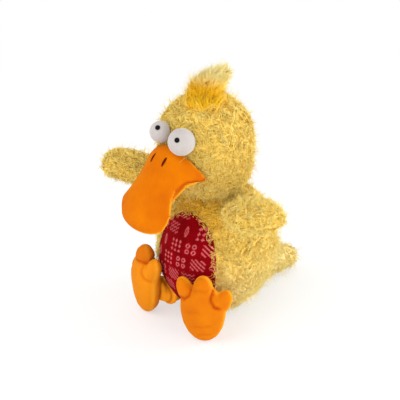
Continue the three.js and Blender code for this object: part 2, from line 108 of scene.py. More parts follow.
TUFT_WISPS = {**WISPS, "spacing": 3.6 * MM, "height": 9.5 * MM, "stray": 3.0 * MM, "lean": 0.9}
SIDE_CURLS = {**CURLS, "height": 6.5 * MM, "strands": 6}
EDGE_CURLS = {
    **CURLS,
    "spacing": 2.4 * MM,
    "height": 5.0 * MM,
    "thickness": 0.24 * MM,
    "strands": 2,
    "lean": 0.8,
}

# How locks differ from their look in height, width and winding, how early they curl, how their tips sag and
# bend over, and how strands spread in them
LOCK_RANGES = {"height": (0.7, 1.3), "curl": (0.6, 1.3), "turns": (0.7, 1.3)}
LOCK = {"start": 0.2, "sag": 0.2, "bend": 1.5, "deviation": 0.6}
STRAND_TAPER = 0.55
STRAND_SEAM = (0.31, 0.87, 0.38)  # a slanting way, which the strands' corners are turned from
FALL = 0.5  # how strongly locks lean down where nothing draws them elsewhere

# Seeds of the random draws that lay each pile's locks
SEEDS = {
    "head_pile": 3,
    "torso_pile": 5,
    "left_wing_pile": 7,
    "right_wing_pile": 8,
    "tail_pile": 9,
    "tuft_pile": 11,
    "crown_pile": 12,
    "belly_edge_pile": 15,
    "belly_side_pile": 16,
}

# Camera: the photograph's angle, framing and reach
CAMERA_AZIMUTH = math.radians(45)
CAMERA_ELEVATION = math.radians(25)
CAMERA_DISTANCE = 1.3
VIEW_WIDTH = 0.4
VIEW_MIDDLE = Vector((-11.6, -11.6, 118.2)) * MM


# Colours


def srgb(red, green, blue):
    """A display colour, 0 to 255, as the linear colour that a shader takes."""
    shares = [value / 255 for value in (red, green, blue)]
    return tuple(s / 12.92 if s <= 0.04045 else ((s + 0.055) / 1.055) ** 2.4 for s in shares) + (1.0,)


# Mesh helpers


def show(name, data):
    obj = bpy.data.objects.new(name, data)
    bpy.context.scene.collection.objects.link(obj)
    return obj


def shade_smooth(mesh):
    mesh.polygons.foreach_set("use_smooth", [True] * len(mesh.polygons))


def mesh_object(name, points, faces):
    mesh = bpy.data.meshes.new(name)
    mesh.from_pydata(np.asarray(points).tolist(), [], faces)
    shade_smooth(mesh)
    mesh.update()
    return show(name, mesh)


def worked_object(name, work):
    """The object that a bmesh has been worked into."""
    mesh = bpy.data.meshes.new(name)
    work.to_mesh(mesh)
    work.free()
    shade_smooth(mesh)
    return show(name, mesh)


def vectors_of(obj, key):
    out = np.empty(len(obj.data.vertices) * 3, np.float32)
    obj.data.vertices.foreach_get(key, out)
    return out.reshape(-1, 3).astype(float)


def points_of(obj):
    return vectors_of(obj, "co")


def normals_of(obj):
    return vectors_of(obj, "normal")


def set_points(obj, co):
    obj.data.vertices.foreach_set("co", np.asarray(co, np.float32).ravel())
    obj.data.update()


def add_value(obj, name, values):
    """One number per point, which materials read."""
    attribute = obj.data.attributes.new(name, "FLOAT", "POINT")
    attribute.data.foreach_set("value", np.asarray(values, np.float32).ravel())


def apply_modifiers(obj):
    graph = bpy.context.evaluated_depsgraph_get()
    mesh = bpy.data.meshes.new_from_object(obj.evaluated_get(graph))
    obj.modifiers.clear()
    obj.data = mesh
    shade_smooth(mesh)


def smooth(obj, steps):
    modifier = obj.modifiers.new("smooth", "SMOOTH")
    modifier.factor = 0.5
    modifier.iterations = steps
    apply_modifiers(obj)


WELD = 0.001 * MM  # points nearer than this are one


def soft_form(name, nodes, voxel, steps, swell=0.0):
    """One smooth closed form over copies of those CAD nodes, moved out by swell."""
    work = bmesh.new()
    for solid in nodes:
        work.from_mesh(frame["nodes"][solid].data)
    bmesh.ops.remove_doubles(work, verts=work.verts, dist=WELD)
    obj = worked_object(name, work)
    modifier = obj.modifiers.new("remesh", "REMESH")
    modifier.mode = "VOXEL"
    modifier.voxel_size = voxel
    apply_modifiers(obj)
    smooth(obj, steps)
    set_points(obj, points_of(obj) + swell * normals_of(obj))
    return obj


class Form:
    """A closed form that other pieces are laid on or kept clear of."""

    def __init__(self, obj):
        co = points_of(obj)
        self.low, self.high = co.min(0), co.max(0)
        self.tree = BVHTree.FromPolygons(co.tolist(), [tuple(p.vertices) for p in obj.data.polygons])

    def near(self, points, reach):
        """The indices of the points within reach of the form's box."""
        return np.flatnonzero(np.all((points > self.low - reach) & (points < self.high + reach), axis=1))

    def surface(self, point):
        """The nearest place on the form, its normal there, and how far the point stands out of it."""
        place, normal, _, distance = self.tree.find_nearest(Vector(point))
        return place, normal, math.copysign(distance, (Vector(point) - place).dot(normal))

    def struck(self, start, way):
        """The first place on the form along a way, or None."""
        return self.tree.ray_cast(Vector(start), Vector(way))[0]


def smooth_share(values):
    """Values held between 0 and 1, eased at both ends."""
    share = np.clip(values, 0, 1)
    return share * share * (3 - 2 * share)


def unit(vectors):
    return vectors / np.maximum(np.linalg.norm(vectors, axis=-1, keepdims=True), 1e-12)


def roughen(obj, size, depth, seed):
    """Moves points along their normals by noise of that grain and depth."""
    co = points_of(obj)
    shift = Vector((seed, 0, 0))
    lumps = np.array([noise.noise(Vector(point) / size + shift) for point in co])
    set_points(obj, co + depth * lumps[:, None] * normals_of(obj))


def keep_off(obj, forms, gap=CLEARANCE):
    """Moves points that lie in another form out to its surface, with a gap."""
    co = points_of(obj)
    for form in forms:
        for index in form.near(co, gap):
            place, normal, height = form.surface(co[index])
            if height < gap:
                co[index] = place + normal * gap
    set_points(obj, co)


def deepen_folds(obj, steps, gain):
    """Smooths a form, and sinks the places that the smoothing fills, so that folds stay folds."""
    before = points_of(obj)
    smooth(obj, steps)
    filled = ((points_of(obj) - before) * normals_of(obj)).sum(1)
    set_points(obj, points_of(obj) - gain * np.clip(filled, 0, None)[:, None] * normals_of(obj))


RIM_START = 0.55  # of a face's cosine to the way that its piece faces


def tint_rim(obj, facing, strength, least=0.0):
    """A painted rim highlight: least over the broad faces, front and rear, up to strength where the form is
    edge-on.
    """
    turned = np.abs(normals_of(obj) @ np.array(facing))
    add_value(obj, "rim", least + (strength - least) * smooth_share((RIM_START - turned) / RIM_START))


# Fur


def scatter(obj, spacing, rng):
    """Points and normals spread over a mesh, one for each square of that spacing."""
    obj.data.calc_loop_triangles()
    corners = np.empty(len(obj.data.loop_triangles) * 3, np.int32)
    obj.data.loop_triangles.foreach_get("vertices", corners)
    corners = corners.reshape(-1, 3)
    co, normals = points_of(obj), normals_of(obj)
    a, b, c = (co[corners[:, k]] for k in range(3))
    area = np.linalg.norm(np.cross(b - a, c - a), axis=1) / 2
    count = int(area.sum() / spacing**2)
    steps = (np.arange(count) + rng.random(count)) / count * area.sum()
    pick = np.minimum(np.searchsorted(np.cumsum(area), steps), len(area) - 1)
    share = rng.random((count, 2))
    share[share.sum(1) > 1] = 1 - share[share.sum(1) > 1]
    weights = np.column_stack([1 - share.sum(1), share])
    chosen = corners[pick]
    return (
        np.einsum("nk,nkc->nc", weights, co[chosen]),
        unit(np.einsum("nk,nkc->nc", weights, normals[chosen])),
    )


def lock_lines(roots, normals, look, rng, lay):
    """The centre line of each strand: locks that curl out of the cloth, and strands that gather in them.

    Lay gives the way that the locks lean at each root; the longer it is, the more they all lean so.
    """
    locks, per_lock, rings = len(roots), look["strands"], look["rings"]
    t = np.linspace(0, 1, rings)
    side = unit(np.cross(normals, rng.normal(size=(locks, 3))))
    other = np.cross(normals, side)
    tall, wide, wind = (look[key] * rng.uniform(*limits, locks) for key, limits in LOCK_RANGES.items())
    wind *= 2 * math.pi * rng.choice([-1, 1], locks)
    phase = rng.uniform(0, 2 * math.pi, locks)
    lean = unit(rng.normal(size=(locks, 3)) + lay(roots)) * look["lean"]
    lean -= normals * (lean * normals).sum(1, keepdims=True)
    reach = t / (t + LOCK["start"]) * (1 + LOCK["start"])
    turn = phase[:, None] + wind[:, None] * t
    line = roots[:, None] + normals[:, None] * (tall[:, None] * t * (1 - LOCK["sag"] * t))[..., None]
    line = line + lean[:, None] * (tall[:, None] * t ** LOCK["bend"])[..., None]
    line = line + side[:, None] * (wide[:, None] * reach * np.cos(turn))[..., None]
    line = line + other[:, None] * (wide[:, None] * reach * np.sin(turn))[..., None]
    spread = rng.normal(size=(locks, per_lock, 3)) * look["spread"] * LOCK["deviation"]
    spread -= normals[:, None] * (spread * normals[:, None]).sum(2, keepdims=True)
    stray = rng.normal(size=(locks, per_lock, 3)) * look["stray"]
    strands = line[:, None] + spread[:, :, None] * (1 - look["gather"] * t)[:, None]
    strands = strands + stray[:, :, None] * (t**2)[:, None]
    return strands.reshape(-1, rings, 3)


def clear_lines(lines, forms, gap=CLEARANCE):
    """Which strands stay out of those forms."""
    keep = np.ones(len(lines), bool)
    for form in forms:
        for ring in range(1, lines.shape[1]):
            points = lines[:, ring]
            for index in form.near(points, gap):
                keep[index] = keep[index] and form.surface(points[index])[2] > gap
    return keep


def strand_points(lines, thickness):
    """Three corners around each ring of each strand but its last, and its tip."""
    t = np.linspace(0, 1, lines.shape[1])
    along = unit(np.gradient(lines, axis=1))
    side = unit(np.cross(along, STRAND_SEAM))
    other = np.cross(along, side)
    radius = (thickness[:, None] * (1 - STRAND_TAPER * t**2))[..., None]
    corners = []
    for k in range(3):
        angle = 2 * math.pi * k / 3
        corners.append(lines + radius * (side * math.cos(angle) + other * math.sin(angle)))
    body = np.stack(corners, axis=2)[:, :-1].reshape(len(lines), -1, 3)
    return np.concatenate([body, lines[:, -1:]], axis=1)


def strand_faces(count, rings, each):
    """The sides, tip and root face of that many strands, each with that many points."""
    quads = []
    for ring in range(rings - 2):
        for k in range(3):
            low, following = 3 * ring + k, 3 * ring + (k + 1) % 3
            quads.append([low, following, following + 3, low + 3])
    last = 3 * (rings - 2)
    triangles = [[last + k, last + (k + 1) % 3, each - 1] for k in range(3)] + [[2, 1, 0]]
    start = (np.arange(count) * each)[:, None, None]
    faces = (np.array(quads)[None] + start).reshape(-1, 4).tolist()
    return faces + (np.array(triangles)[None] + start).reshape(-1, 3).tolist()


def strand_mesh(name, lines, thickness, tones):
    """Closed three-sided strands that taper to a point, with their root-to-tip share and tone."""
    count, rings = lines.shape[:2]
    points = strand_points(lines, thickness)
    each = points.shape[1]
    obj = mesh_object(name, points.reshape(-1, 3), strand_faces(count, rings, each))
    share = np.append(np.repeat(np.linspace(0, 1, rings)[:-1], 3), 1.0)
    add_value(obj, "along", np.tile(share, count))
    add_value(obj, "tone", np.repeat(tones, each))
    return obj


def down(roots):
    return np.array([0, 0, -FALL])


def towards_point(point, strength):
    return lambda roots: strength * unit(np.array(point) - roots)


def furred(name, cloth, looks, obstacles=(), lay=down, allowed=None):
    """Locks over a cloth, left out where another form is or where allowed says no."""
    rng = np.random.default_rng(SEEDS[name])
    lines, tones, thickness = [], [], []
    for look in looks:
        roots, normals = scatter(cloth, look["spacing"], rng)
        if allowed is not None:
            here = allowed(roots, normals)
            roots, normals = roots[here], normals[here]
        drawn = lock_lines(roots, normals, look, rng, lay)
        keep = clear_lines(drawn, obstacles)
        lines.append(drawn[keep])
        tones.append(np.repeat(rng.random(len(roots)), look["strands"])[keep])
        thickness.append(np.full(keep.sum(), look["thickness"]))
    lines = np.concatenate(lines)
    lines[..., 2] = np.maximum(lines[..., 2], FLOOR_GAP)
    return strand_mesh(name, lines, np.concatenate(thickness), np.concatenate(tones))


# Materials


def node(tree, kind, inputs=None, **settings):
    """A shader node. An input is a number, a colour or another node's output."""
    made = tree.nodes.new("ShaderNode" + kind)
    for key, value in settings.items():
        setattr(made, key, value)
    for key, value in (inputs or {}).items():
        socket = made.inputs[key]
        if isinstance(value, bpy.types.NodeSocket):
            tree.links.new(value, socket)
        else:
            socket.default_value = value
    return made


def new_material(name):
    material = bpy.data.materials.new(name)
    material.use_nodes = True
    material.node_tree.nodes.clear()
    return material, material.node_tree


def finish_material(tree, inputs):
    shader = node(tree, "BsdfPrincipled", inputs)
    node(tree, "OutputMaterial", {"Surface": shader.outputs["BSDF"]})


def ramp(tree, value, stops):
    made = node(tree, "ValToRGB", {"Fac": value})
    elements = made.color_ramp.elements
    while len(elements) < len(stops):
        elements.new(0.5)
    for element, (position, colour) in zip(elements, stops):
        element.position = position
        element.color = colour
    return made.outputs["Color"]


def grain(tree, size, detail=2.0):
    """Noise whose lumps are about that many metres across."""
    place = node(tree, "TexCoord").outputs["Object"]
    return node(tree, "TexNoise", {"Vector": place, "Scale": 1 / size, "Detail": detail}).outputs["Fac"]


def value_of(tree, name):
    """The value of that name, which add_value has given the mesh; 0 where it has none."""
    return node(tree, "Attribute", attribute_name=name).outputs["Fac"]


def remapped(tree, value, low, high, start=0.0, end=1.0):
    """A value that runs from low to high while the given one runs from start to end."""
    limits = {"From Min": start, "From Max": end, "To Min": low, "To Max": high}
    return node(tree, "MapRange", {"Value": value, **limits}).outputs["Result"]


def maths(tree, operation, first, second):
    return node(tree, "Math", {0: first, 1: second}, operation=operation).outputs["Value"]


def blended(tree, mode, share, first, second):
    made = node(tree, "Mix", data_type="RGBA", blend_type=mode)
    for key, value in (("Factor", share), ("A", first), ("B", second)):
        socket = [s for s in made.inputs if s.name == key and s.enabled][0]
        if isinstance(value, bpy.types.NodeSocket):
            tree.links.new(value, socket)
        else:
            socket.default_value = value
    return [s for s in made.outputs if s.enabled][0]


def bump(tree, height, distance):
    return node(tree, "Bump", {"Height": height, "Distance": distance, "Strength": 1.0}).outputs["Normal"]


# Tints that a colour is multiplied by: along each lock's tone, over patches of fur, and in velour's speckle
WHITE = (1, 1, 1, 1)
LOCK_TINTS = [(0.0, (0.88, 0.86, 0.78, 1)), (0.5, (0.98, 0.98, 0.97, 1)), (1.0, WHITE)]
PATCH_TINTS = [(0.35, (0.93, 0.91, 0.86, 1)), (0.65, WHITE)]
SPECKLE_TINTS = [(0.3, (0.93, 0.9, 0.86, 1)), (0.7, WHITE)]
STRAND_STOPS = (0.0, 0.45, 1.0)  # where a strand has its root, middle and tip colour
AMBER_UNEVEN = 0.25  # how much of the lock and patch tints the amber hair takes


def pile_material(name, yellow, amber, pale):
    """Fur strands, deeper at the root and paler at the tip, each lock with its own tone. The deeper roots are
    partly the fur's own colour and partly painted shade of the pile's depth.

    Yellow and amber are each a root, middle and tip colour. The mesh's amber value chooses between them: the
    tuft's own amber, and painted shade at the throat. Its pale value gives the share of the pale colour: the
    tuft tips' own paleness, and painted light low on the body, tail and wings.
    """
    material, tree = new_material(name)
    along, share = value_of(tree, "along"), value_of(tree, "amber")
    plain, deep = (ramp(tree, along, list(zip(STRAND_STOPS, colours))) for colours in (yellow, amber))
    colour = blended(tree, "MIX", share, plain, deep)
    colour = blended(tree, "MIX", value_of(tree, "pale"), colour, pale)
    uneven = remapped(tree, share, 1.0, AMBER_UNEVEN)
    colour = blended(tree, "MULTIPLY", uneven, colour, ramp(tree, value_of(tree, "tone"), LOCK_TINTS))
    colour = blended(tree, "MULTIPLY", uneven, colour, ramp(tree, grain(tree, 22 * MM), PATCH_TINTS))
    finish_material(
        tree,
        {
            "Base Color": colour,
            "Roughness": 0.9,
            "Specular IOR Level": 0.1,
            "Sheen Weight": 0.2,
            "Sheen Roughness": 0.5,
            "Sheen Tint": srgb(255, 236, 160),
        },
    )
    return material


def backing_material(name, deep, light, pale):
    """The matted foot of the fur, seen between the curls, with the pile's pale share: on the tuft its own
    paleness, lower on the body, tail and wings painted light.
    """
    material, tree = new_material(name)
    lumps = grain(tree, 2.2 * MM, detail=3.0)
    colour = ramp(tree, lumps, [(0.35, deep), (0.7, light)])
    colour = blended(tree, "MIX", value_of(tree, "pale"), colour, pale)
    normal = bump(tree, lumps, 1.5 * MM)
    finish_material(tree, {"Base Color": colour, "Roughness": 1.0, "Normal": normal, "Sheen Weight": 0.2})
    return material


def velour_material(name, deep, middle, pale, rim, crease_shade):
    """Short brushed pile: soft nap patches and a fine speckle, with a painted highlight from the mesh's rim
    value and painted shade from its crease value.
    """
    material, tree = new_material(name)
    nap = grain(tree, 26 * MM)
    colour = ramp(tree, nap, [(0.25, deep), (0.5, middle), (0.75, pale)])
    fibre = grain(tree, 0.7 * MM)
    colour = blended(tree, "MULTIPLY", 1.0, colour, ramp(tree, fibre, SPECKLE_TINTS))
    for value, tint in (("rim", rim), ("crease_shade", crease_shade)):
        colour = blended(tree, "MIX", value_of(tree, value), colour, tint)
    normal = bump(tree, fibre, 0.35 * MM)
    roughness = remapped(tree, nap, 0.8, 1.0)
    finish_material(
        tree,
        {
            "Base Color": colour,
            "Roughness": roughness,
            "Normal": normal,
            "Sheen Weight": 0.2,
            "Sheen Roughness": 0.4,
            "Sheen Tint": srgb(255, 180, 40),
            "Specular IOR Level": 0.06,
        },
    )
    return material


def fleece_material(name, deep, pale):
    material, tree = new_material(name)
    fibre = grain(tree, 0.9 * MM, detail=3.0)
    colour = ramp(tree, fibre, [(0.3, deep), (0.7, pale)])
    finish_material(
        tree,
        {
            "Base Color": colour,
            "Roughness": 0.9,
            "Normal": bump(tree, fibre, 0.2 * MM),
            "Sheen Weight": 0.4,
            "Sheen Roughness": 0.5,
            "Specular IOR Level": 0.2,
        },
    )
    return material


WEAVE_SCALE = 100  # of the wave texture, for bands about 3 mm apart


def cotton_material(name, deep, cloth, ink):
    """Red plain weave, printed where the mesh's print value is high."""
    material, tree = new_material(name)
    inputs = {"Vector": node(tree, "TexCoord").outputs["Object"], "Scale": WEAVE_SCALE}
    threads = [node(tree, "TexWave", inputs, bands_direction=way).outputs["Fac"] for way in ("X", "Z")]
    ground = ramp(tree, grain(tree, 9 * MM), [(0.3, deep), (0.7, cloth)])
    worn = remapped(tree, grain(tree, 1.1 * MM), 0.65, 1.0)
    share = maths(tree, "MULTIPLY", value_of(tree, "print"), worn)
    finish_material(
        tree,
        {
            "Base Color": blended(tree, "MIX", share, ground, ink),
            "Roughness": 0.9,
            "Normal": bump(tree, maths(tree, "MULTIPLY", *threads), 0.15 * MM),
            "Specular IOR Level": 0.05,
        },
    )
    return material


def thread_material(name, dark, light):
    material, tree = new_material(name)
    fibre = grain(tree, 0.5 * MM)
    finish_material(
        tree,
        {
            "Base Color": ramp(tree, fibre, [(0.3, dark), (0.7, light)]),
            "Roughness": 0.9,
            "Normal": bump(tree, fibre, 0.2 * MM),
            "Specular IOR Level": 0.05,
        },
    )
    return material


def pupil_material(name, dark, light):
    material, tree = new_material(name)
    haze = grain(tree, 1.5 * MM)
    colour = ramp(tree, haze, [(0.3, dark), (0.7, light)])
    roughness = remapped(tree, haze, 0.35, 0.5)
    finish_material(tree, {"Base Color": colour, "Roughness": roughness, "Specular IOR Level": 0.08})
    return material


def dress(obj, material, slot, body, *nodes, stuffed=None):
    """Holds a piece above the floor, gives it its material and body, and hides the CAD nodes that it stands
    for. The slot is not used.
    """
    if obj.type == "MESH":
        co = points_of(obj)
        set_points(obj, np.column_stack([co[:, :2], np.maximum(co[:, 2], 0)]))
    obj.data.materials.clear()
    obj.data.materials.append(material)
    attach(obj, body)
    if nodes:
        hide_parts(*nodes)


# Root, middle and tip colours; the deeper roots are partly the fur's own colour and partly painted shade
YELLOW = (srgb(246, 202, 72), srgb(255, 222, 104), srgb(255, 238, 156))
AMBER = (srgb(255, 188, 0), srgb(255, 200, 0), srgb(255, 212, 40))
# The pale colour: the tuft tips' own, and painted light low on the body, tail and wings
PALE_AND_PAINTED_LIGHT = srgb(255, 246, 192)
FUR_PILE = pile_material("fur_pile", YELLOW, AMBER, PALE_AND_PAINTED_LIGHT)
FUR_CLOTH = backing_material("fur_cloth", srgb(222, 184, 72), srgb(240, 206, 96), PALE_AND_PAINTED_LIGHT)
TUFT_CLOTH = backing_material("tuft_cloth", srgb(255, 186, 4), srgb(255, 200, 16), PALE_AND_PAINTED_LIGHT)
# Painted highlight for velour's edges, and painted shade for its creases and hollows
RIM_HIGHLIGHT, PAINTED_SHADE = srgb(248, 172, 40), srgb(170, 50, 0)
ORANGES = (srgb(196, 94, 0), srgb(205, 106, 0), srgb(214, 117, 0))
VELOUR = velour_material("velour", *ORANGES, RIM_HIGHLIGHT, PAINTED_SHADE)
# The legs' velour is a paler copy: painted light where the legs lie in shade under the belly
LEG_LIT_ORANGES = (srgb(255, 160, 24), srgb(255, 172, 34), srgb(255, 184, 44))
LEG_LIT_VELOUR = velour_material("leg_velour_painted_light", *LEG_LIT_ORANGES, RIM_HIGHLIGHT, PAINTED_SHADE)
EYE_FLEECE = fleece_material("eye_fleece", srgb(173, 166, 162), srgb(185, 177, 173))
COTTON = cotton_material("cotton", srgb(116, 0, 6), srgb(134, 0, 10), srgb(216, 106, 110))
THREAD = thread_material("thread", srgb(66, 10, 6), srgb(110, 26, 14))
PUPIL = pupil_material("pupil", srgb(4, 4, 4), srgb(12, 12, 14))


# Fur pieces, and the CAD nodes that are joined under one cloth

TORSO_NODES = ["torso_left_panel", "torso_right_panel", "torso_base_panel", "belly_panel", "torso_fill"]
HEAD_NODES = ["head_left_panel", "head_right_panel", "head_fill"]


def wing_nodes(side):
    return [f"{side}_wing_upper_panel", f"{side}_wing_lower_panel", f"{side}_wing_fill"]


def foot_nodes(side):
    return [f"{side}_foot_sole_panel", f"{side}_foot_instep_panel", f"{side}_foot_fill"]


def furred_piece(body, nodes, **settings):
    """A stuffed fur part, named as its body: its cloth under the solid's surface, and the pile on it."""
    cloth = soft_form(f"{body}_cloth", nodes, **FUR_BASE)
    pile = furred(f"{body}_pile", cloth, [CURLS, WISPS], **settings)
    roughen(cloth, **FUR_LUMPS, seed=SEEDS[pile.name])
    dress(cloth, FUR_CLOTH, "fur", body, *nodes, stuffed=0.7)
    dress(pile, FUR_PILE, "fur", body)
    return cloth, pile


def tint_pale_and_painted_light(obj, start, end, most):
    """Pales a fur piece, from none at the height start to most at the height end, above or below it: on the
    tuft its own paler tips, lower on the body, tail and wings painted light.
    """
    add_value(obj, "pale", most * smooth_share((start - points_of(obj)[:, 2]) / (start - end)))


def tint_amber_and_painted_shade(pile, middle, inner, outer, most=1.0):
    """Deepens the colour of strands near a place to amber: most within inner, none beyond outer. Round the
    tuft this is the hair's own amber; at the throat it is painted shade.
    """
    away = np.linalg.norm(points_of(pile) - np.array(middle), axis=1)
    add_value(pile, "amber", most * smooth_share((outer - away) / (outer - inner)))


# Tuft

TUFT_BASE = {"voxel": 1.5 * MM, "steps": 12, "swell": -2 * MM}

# Where the hair runs to, off the rear and top of the tuft's box, and climbs from, off its front and foot
TUFT_TIP = {"behind": 6 * MM, "above": 14 * MM}
TUFT_ROOT = {"aside": 6 * MM, "depth": 0.2, "above": 1 * MM}
TUFT_PULL, CROWN_PULL = 2.2, 2.0
CROWN_REACH = 22 * MM
TUFT_AMBER = {"inner": 15 * MM, "outer": 25 * MM}
TUFT_PALE = {"start": 0.5, "most": 0.5}


def tuft_places():
    """The tip that the tuft's hair runs to, and the root that it climbs from."""
    low, high = (np.array(corner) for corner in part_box("head_tuft"))
    tip = np.array([(low[0] + high[0]) / 2, high[1] + TUFT_TIP["behind"], high[2] + TUFT_TIP["above"]])
    behind = TUFT_ROOT["depth"] * (high[1] - low[1])
    return tip, np.array([tip[0] + TUFT_ROOT["aside"], low[1] + behind, low[2] + TUFT_ROOT["above"]])


def tuft(head_cloth, head_pile):
    """Long amber hair that runs up the tuft, and shorter hair that climbs to it from the crown."""
    cloth = soft_form("tuft_cloth", ["head_tuft"], **TUFT_BASE)
    tip, root = tuft_places()
    pile = furred("tuft_pile", cloth, [TUFT_HAIR, TUFT_WISPS], lay=towards_point(tip, TUFT_PULL))
    crown = furred(
        "crown_pile",
        head_cloth,
        [CROWN_HAIR],
        lay=towards_point(tip, CROWN_PULL),
        allowed=lambda roots, normals: np.linalg.norm(roots - root, axis=1) < CROWN_REACH,
    )
    for hair in (pile, crown, head_pile):
        tint_amber_and_painted_shade(hair, root, **TUFT_AMBER)
    low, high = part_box("head_tuft")
    for piece in (cloth, pile):
        tint_pale_and_painted_light(piece, low.z + TUFT_PALE["start"] * (high.z - low.z), high.z, TUFT_PALE["most"])
    dress(cloth, TUFT_CLOTH, "tuft", "head", "head_tuft", stuffed=0.4)
    dress(pile, FUR_PILE, "tuft", "head")
    dress(crown, FUR_PILE, "tuft", "head")


# Bill

UPPER_BILL = {"voxel": 1.5 * MM, "steps": 26, "swell": 0.5 * MM}
LOWER_BILL = {"voxel": 1.5 * MM, "steps": 20, "swell": 1.0 * MM}
BILL_FACING = (0, -0.83, 0.55)

# Where the bill's cloths are drawn out, on either side alike, and how far across, along and up
BILL_CORNER = {"at": (31 * MM, 50 * MM, 172 * MM), "reach": 18 * MM, "shift": (4.2 * MM, 0, -3.2 * MM)}
LIP = {"out": 1.8 * MM, "ease": 0.7}
MOUTH_CORNER = {"from": 148 * MM, "over": 14 * MM, "shift": (6.5 * MM, 9 * MM, 4.5 * MM)}
MOUTH_SLOPE = 0.3  # faces whose normals rise less than this, between the mouth's corners, look into it
# How much painted shade the mouth's roof and the upper bill's corners take
BILL_SHADE = {"mouth": 0.8, "corner": 0.35}

# The nostril stitches' radius on either side, the points along one, its lift and arch, and its ends' thinness
STITCH = {"left": 1.1 * MM, "right": 0.7 * MM, "points": 9, "lift": 0.2 * MM, "arch": 0.5 * MM, "end": 0.55}


def mouth_share(co):
    """How near points are to the height of the mouth's corners: 0 at the spoon, 1 at the corners."""
    return smooth_share((co[:, 2] - MOUTH_CORNER["from"]) / MOUTH_CORNER["over"])


def corner_share(co):
    """How near points are to the upper bill's corners on either side, 1 at the corners."""
    away = np.linalg.norm(np.abs(co) - np.array(BILL_CORNER["at"]), axis=1)
    return smooth_share(1 - away / BILL_CORNER["reach"])


def draw_corners(upper):
    """Draws the upper bill's corners out and down, and gives each point's share in that."""
    co = points_of(upper)
    corner = corner_share(co)
    away = np.column_stack([np.sign(co[:, 0]), np.ones((len(co), 2))])
    set_points(upper, co + corner[:, None] * away * np.array(BILL_CORNER["shift"]))
    return corner


def draw_lip(lower):
    """Draws the lower bill's lip out, and furthest at the mouth's corners."""
    co = points_of(lower)
    outer = co[:, 0] / np.abs(co[:, 0]).max()
    sides = np.sign(outer) * np.abs(outer) ** LIP["ease"]
    drawn = mouth_share(co)[:, None] * np.array(MOUTH_CORNER["shift"]) + np.array([LIP["out"], 0, 0])
    set_points(lower, co + drawn * np.column_stack([sides, np.abs(sides), np.abs(sides)]))


def shade_mouth(upper, corner):
    """Paints shade into the upper bill's corners and the mouth's roof, and takes the painted rim highlight
    from the roof.
    """
    rim = upper.data.attributes["rim"]
    values = np.array([item.value for item in rim.data])
    mouth = mouth_share(points_of(upper)) * (normals_of(upper)[:, 2] < MOUTH_SLOPE)
    rim.data.foreach_set("value", values * (1 - mouth))
    add_value(upper, "crease_shade", np.maximum(BILL_SHADE["mouth"] * values * mouth, BILL_SHADE["corner"] * corner))


def bill(head_form):
    """The upper bill, and the lower one, whose lip runs to the mouth's corners under the upper's edge."""
    upper = soft_form("upper_bill_cloth", ["upper_bill"], **UPPER_BILL)
    lower = soft_form("lower_bill_cloth", ["lower_bill"], **LOWER_BILL)
    corner = draw_corners(upper)
    draw_lip(lower)
    keep_off(lower, [Form(upper), head_form])
    # Painted highlight along the bills' edges, and on the lower bill painted light over its broad faces too
    tint_rim(upper, BILL_FACING, 1.0)
    tint_rim(lower, BILL_FACING, 0.9, least=0.6)
    shade_mouth(upper, corner)
    dress(upper, VELOUR, "velour", "head", "upper_bill", stuffed=0.7)
    dress(lower, VELOUR, "velour", "jaw", "lower_bill", stuffed=0.5)
    return upper, lower


def nostril(side, bill_form):
    """A thick stitch laid on the bill, from the CAD stitch's upper end to its lower one."""
    name = f"nostril_stitch_{side}"
    co = points_of(frame["nodes"][name])
    order = np.argsort(co[:, 2])
    low, high = (co[corners].mean(0) for corners in (order[:4], order[-4:]))
    curve = bpy.data.curves.new(f"{name}_thread", "CURVE")
    curve.dimensions = "3D"
    curve.bevel_depth = STITCH[side]
    curve.bevel_resolution = 3
    curve.use_fill_caps = True
    spline = curve.splines.new("POLY")
    shares = np.linspace(0, 1, STITCH["points"])
    spline.points.add(len(shares) - 1)
    for point, share in zip(spline.points, shares):
        place, normal, _ = bill_form.surface(low + (high - low) * share)
        swell = math.sin(math.pi * share)
        point.co = (*(place + normal * (STITCH["lift"] + STITCH["arch"] * swell)), 1)
        point.radius = STITCH["end"] + (1 - STITCH["end"]) * swell
    dress(show(f"{name}_thread", curve), THREAD, "stitch", "head", name)


# Eyes

EYE_SEAM = {"behind": 0.15, "width": 0.6 * MM, "depth": 0.45 * MM}
PUPIL_HALVES = (2.5 * MM, 2.5 * MM, 1.3 * MM)


def eye(side, forms):
    """A stuffed ball with a seam round it, sewn on the head and flattened where it meets head and bill."""
    low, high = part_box(f"eye_{side}")
    radius = (high.z - low.z) / 2
    middle = Vector(((low.x + high.x) / 2, low.y + radius, (low.z + high.z) / 2))
    work = bmesh.new()
    bmesh.ops.create_icosphere(work, subdivisions=5, radius=radius, matrix=Matrix.Translation(middle))
    ball = worked_object(f"eye_{side}_ball", work)
    pupil_low, pupil_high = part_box(f"pupil_{side}")
    gaze = ((pupil_low + pupil_high) / 2 - middle).normalized()
    ahead = (points_of(ball) - np.array(middle)) @ np.array(gaze)
    seam = np.exp(-(((ahead + EYE_SEAM["behind"] * radius) / EYE_SEAM["width"]) ** 2))
    set_points(ball, points_of(ball) - EYE_SEAM["depth"] * seam[:, None] * normals_of(ball))
    keep_off(ball, forms)
    dress(ball, EYE_FLEECE, "eye_cloth", "head", f"eye_{side}", stuffed=0.9)
    pupil(side, middle + gaze * radius, gaze)
    return ball


def pupil(side, at, gaze):
    """A low black dome, a little proud of the ball."""
    work = bmesh.new()
    turn = gaze.to_track_quat("Z", "Y").to_matrix().to_4x4()
    shape = Matrix.Translation(at) @ turn @ Matrix.Diagonal((*PUPIL_HALVES, 1))
    bmesh.ops.create_uvsphere(work, u_segments=32, v_segments=20, radius=1, matrix=shape)
    dress(worked_object(f"pupil_{side}_dome", work), PUPIL, "pupil", "head", f"pupil_{side}")


# Belly

